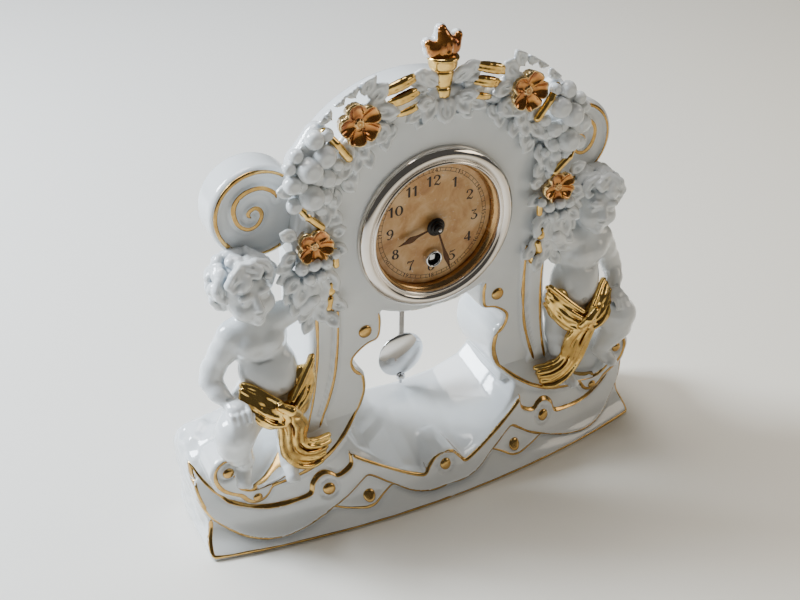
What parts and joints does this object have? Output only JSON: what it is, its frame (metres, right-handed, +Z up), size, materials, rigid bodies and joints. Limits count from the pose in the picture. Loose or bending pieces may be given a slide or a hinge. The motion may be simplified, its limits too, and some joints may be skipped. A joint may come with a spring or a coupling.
{
  "type": "figural mantel clock",
  "caption": "White porcelain pendulum mantel clock: arched case on a bowed scroll base, two putti with gilt drapery, flower garlands and a torch.",
  "frame": {"origin": "middle of the bounding box, on the table that the base stands on", "axes": "+Z up, -Y the way the dial faces, +X to the right of someone who looks at the dial"},
  "size_m": [0.238, 0.06, 0.2292],
  "materials": {
    "porcelain": "glazed white porcelain, high gloss",
    "burnished_gold": "bright fired gold on porcelain",
    "copper_lustre": "fired copper and gold lustre on porcelain",
    "nickel": "polished nickel plate, lightly aged",
    "dial_card": "aged tan dial with printed black numerals",
    "brass": "lacquered clock brass",
    "steel": "plain steel",
    "dark_steel": "blackened steel"
  },
  "bodies": {
    "case": {"base": "porcelain", "left_leg": "porcelain", "right_leg": "porcelain", "arch": "porcelain", "left_scroll": "porcelain", "right_scroll": "porcelain", "left_putto": "porcelain", "right_putto": "porcelain", "left_drape": "burnished_gold", "right_drape": "burnished_gold", "left_garland": "porcelain", "right_garland": "porcelain", "left_grapes": "porcelain", "right_grapes": "porcelain", "upper_left_flower": "copper_lustre", "upper_right_flower": "copper_lustre", "lower_left_flower": "copper_lustre", "lower_right_flower": "copper_lustre", "torch_socket": "burnished_gold", "torch_flame": "copper_lustre", "bezel": "nickel", "dial": "dial_card", "winding_collar": "nickel", "movement_can": "brass", "clamp_ring": "steel", "clamp_screws": "steel", "case_screws": "steel", "front_plate": "brass", "back_plate": "brass", "pillars": "brass", "pillar_nuts": "steel", "click_spring": "steel", "click_screw": "steel", "minute_post": "steel"},
    "minute_arbor": {"centre_wheel": "brass", "cannon_pinion": "steel", "minute_hand": "dark_steel", "hand_nut": "dark_steel"},
    "hour_pipe": {"hour_wheel": "brass", "hour_hand": "dark_steel"},
    "minute_wheel": {"minute_wheel": "brass"},
    "barrel": {"barrel": "brass", "barrel_cap": "brass", "mainspring": "steel"},
    "third_wheel": {"third_wheel": "brass"},
    "escape_wheel": {"escape_wheel": "brass"},
    "winding_arbor": {"winding_arbor": "steel", "ratchet_wheel": "steel"},
    "click": {"click": "steel"},
    "pendulum": {"anchor": "steel", "crutch": "steel", "pendulum_rod": "nickel"},
    "bob": {"pendulum_bob": "nickel"},
    "rating_nut": {"rating_nut": "nickel"}
  },
  "joints": [
    {"name": "minute_turn", "type": "hinge", "parent": "case", "child": "minute_arbor", "pos_m": [0, 0, 0.1387], "axis": [0, 1, 0], "continuous": true},
    {"name": "hour_turn", "type": "hinge", "parent": "case", "child": "hour_pipe", "pos_m": [0, 0, 0.1387], "axis": [0, 1, 0], "continuous": true},
    {"name": "minute_wheel_turn", "type": "hinge", "parent": "case", "child": "minute_wheel", "pos_m": [-0.00748, 0, 0.14302], "axis": [0, 1, 0], "continuous": true},
    {"name": "barrel_turn", "type": "hinge", "parent": "case", "child": "barrel", "pos_m": [0, 0, 0.1222], "axis": [0, 1, 0], "continuous": true},
    {"name": "third_wheel_turn", "type": "hinge", "parent": "case", "child": "third_wheel", "pos_m": [0.01046, 0, 0.14747], "axis": [0, 1, 0], "continuous": true},
    {"name": "escape_wheel_turn", "type": "hinge", "parent": "case", "child": "escape_wheel", "pos_m": [0, 0, 0.15523], "axis": [0, 1, 0], "continuous": true},
    {"name": "winding_turn", "type": "hinge", "parent": "case", "child": "winding_arbor", "pos_m": [0, 0, 0.1222], "axis": [0, 1, 0], "range_deg": [0, 1800]},
    {"name": "click_lift", "type": "hinge", "parent": "case", "child": "click", "pos_m": [0.0074, 0, 0.1238], "axis": [0, 1, 0], "range_deg": [0, 14]},
    {"name": "pendulum_swing", "type": "hinge", "parent": "case", "child": "pendulum", "pos_m": [0, 0, 0.16608], "axis": [0, 1, 0], "range_deg": [-7, 7]},
    {"name": "bob_height", "type": "slide", "parent": "pendulum", "child": "bob", "axis": [0, 0, 1], "range_m": [-0.001, 0.001]},
    {"name": "rating_nut_turn", "type": "hinge", "parent": "bob", "child": "rating_nut", "pos_m": [0, 0.0253, 0.0364], "axis": [0, 0, 1], "range_deg": [-720, 720]}
  ],
  "couplings": [
    {"joint": "hour_turn", "follows": "minute_turn", "ratio": 0.083333},
    {"joint": "minute_wheel_turn", "follows": "minute_turn", "ratio": -0.33333},
    {"joint": "barrel_turn", "follows": "minute_turn", "ratio": -0.13889},
    {"joint": "third_wheel_turn", "follows": "minute_turn", "ratio": -12},
    {"joint": "escape_wheel_turn", "follows": "minute_turn", "ratio": 147.43},
    {"joint": "rating_nut_turn", "follows": "bob_height", "rad_per_m": 12566}
  ]
}
